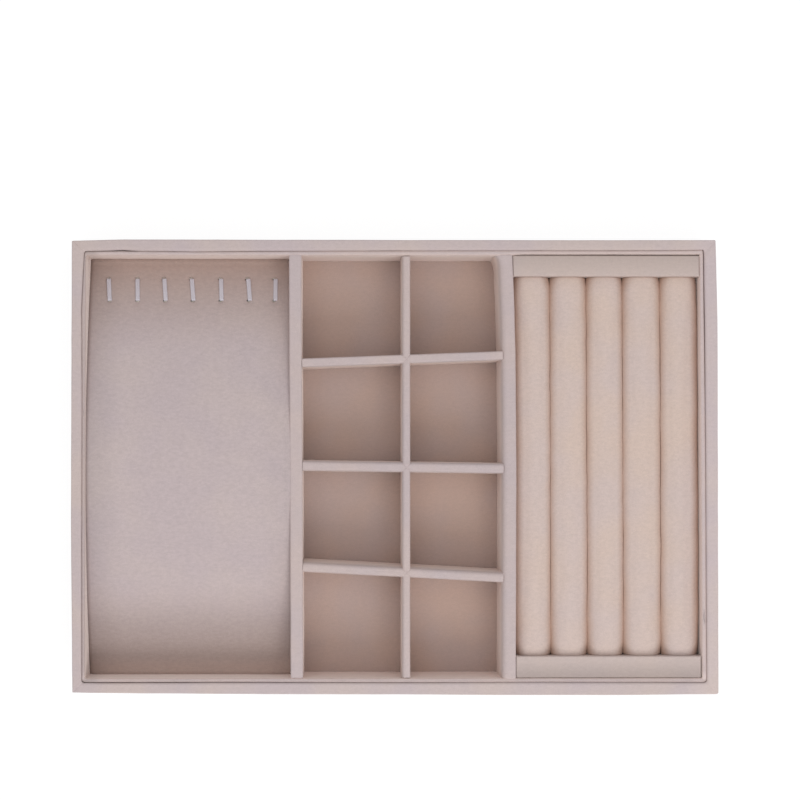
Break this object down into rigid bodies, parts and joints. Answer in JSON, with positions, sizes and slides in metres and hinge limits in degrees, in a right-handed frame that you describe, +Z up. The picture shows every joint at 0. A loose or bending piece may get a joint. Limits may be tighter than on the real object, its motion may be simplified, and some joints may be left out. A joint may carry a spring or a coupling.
{
  "type": "jewelry tray",
  "caption": "Shallow velvet-lined jewelry tray with an arched necklace panel and elastic loops, a lift-out compartment grid and a lift-out ring cushion.",
  "frame": {"origin": "middle of the underside, on the surface the tray stands on", "axes": "+X to the right along the length, from the necklace panel to the ring cushion; +Y to the rear, towards the elastic loops; +Z up"},
  "size_m": [0.35, 0.246, 0.045],
  "materials": {
    "rim_suede": "matte microsuede",
    "lining_velvet": "short-pile velvet",
    "floor_velvet": "short-pile velvet",
    "ring_velvet": "soft plush velvet",
    "bar_suede": "matte microsuede",
    "elastic": "flat woven elastic",
    "fibreboard": "raw fibreboard",
    "card": "grey card",
    "foam": "open-cell foam",
    "felt": "pressed felt"
  },
  "bodies": {
    "tray": {"base_felt": "felt", "base_board": "fibreboard", "wall_board_front": "fibreboard", "wall_board_rear": "fibreboard", "wall_board_left": "fibreboard", "wall_board_right": "fibreboard", "outer_wrap": "rim_suede", "liner_card_front": "card", "liner_card_rear": "card", "liner_card_left": "card", "liner_card_right": "card", "liner_velvet": "lining_velvet", "middle_floor_pad": "floor_velvet", "ring_floor_pad": "floor_velvet", "main_divider_core_left": "fibreboard", "main_divider_core_right": "fibreboard", "main_divider_velvet_left": "lining_velvet", "main_divider_velvet_right": "lining_velvet", "necklace_panel_velvet": "lining_velvet", "necklace_panel_card": "card", "necklace_rib_left": "card", "necklace_rib_middle": "card", "necklace_rib_right": "card", "necklace_loop_1": "elastic", "necklace_loop_2": "elastic", "necklace_loop_3": "elastic", "necklace_loop_4": "elastic", "necklace_loop_5": "elastic", "necklace_loop_6": "elastic", "necklace_loop_7": "elastic"},
    "divider_grid": {"column_divider_card": "card", "column_divider_velvet": "lining_velvet", "row_divider_card_rear": "card", "row_divider_card_middle": "card", "row_divider_card_front": "card", "row_divider_velvet_rear": "lining_velvet", "row_divider_velvet_middle": "lining_velvet", "row_divider_velvet_front": "lining_velvet"},
    "ring_insert": {"ring_insert_base": "fibreboard", "ring_insert_riser": "foam", "ring_bar_core_front": "fibreboard", "ring_bar_core_rear": "fibreboard", "ring_bar_wrap_front": "bar_suede", "ring_bar_wrap_rear": "bar_suede", "ring_roll_foam_1": "foam", "ring_roll_foam_2": "foam", "ring_roll_foam_3": "foam", "ring_roll_foam_4": "foam", "ring_roll_foam_5": "foam", "ring_roll_velvet_1": "ring_velvet", "ring_roll_velvet_2": "ring_velvet", "ring_roll_velvet_3": "ring_velvet", "ring_roll_velvet_4": "ring_velvet", "ring_roll_velvet_5": "ring_velvet"}
  },
  "joints": [
    {"name": "divider_grid_lift", "type": "slide", "parent": "tray", "child": "divider_grid", "axis": [0, 0, 1], "range_m": [0, 0.06]},
    {"name": "ring_insert_lift", "type": "slide", "parent": "tray", "child": "ring_insert", "axis": [0, 0, 1], "range_m": [0, 0.06]}
  ]
}
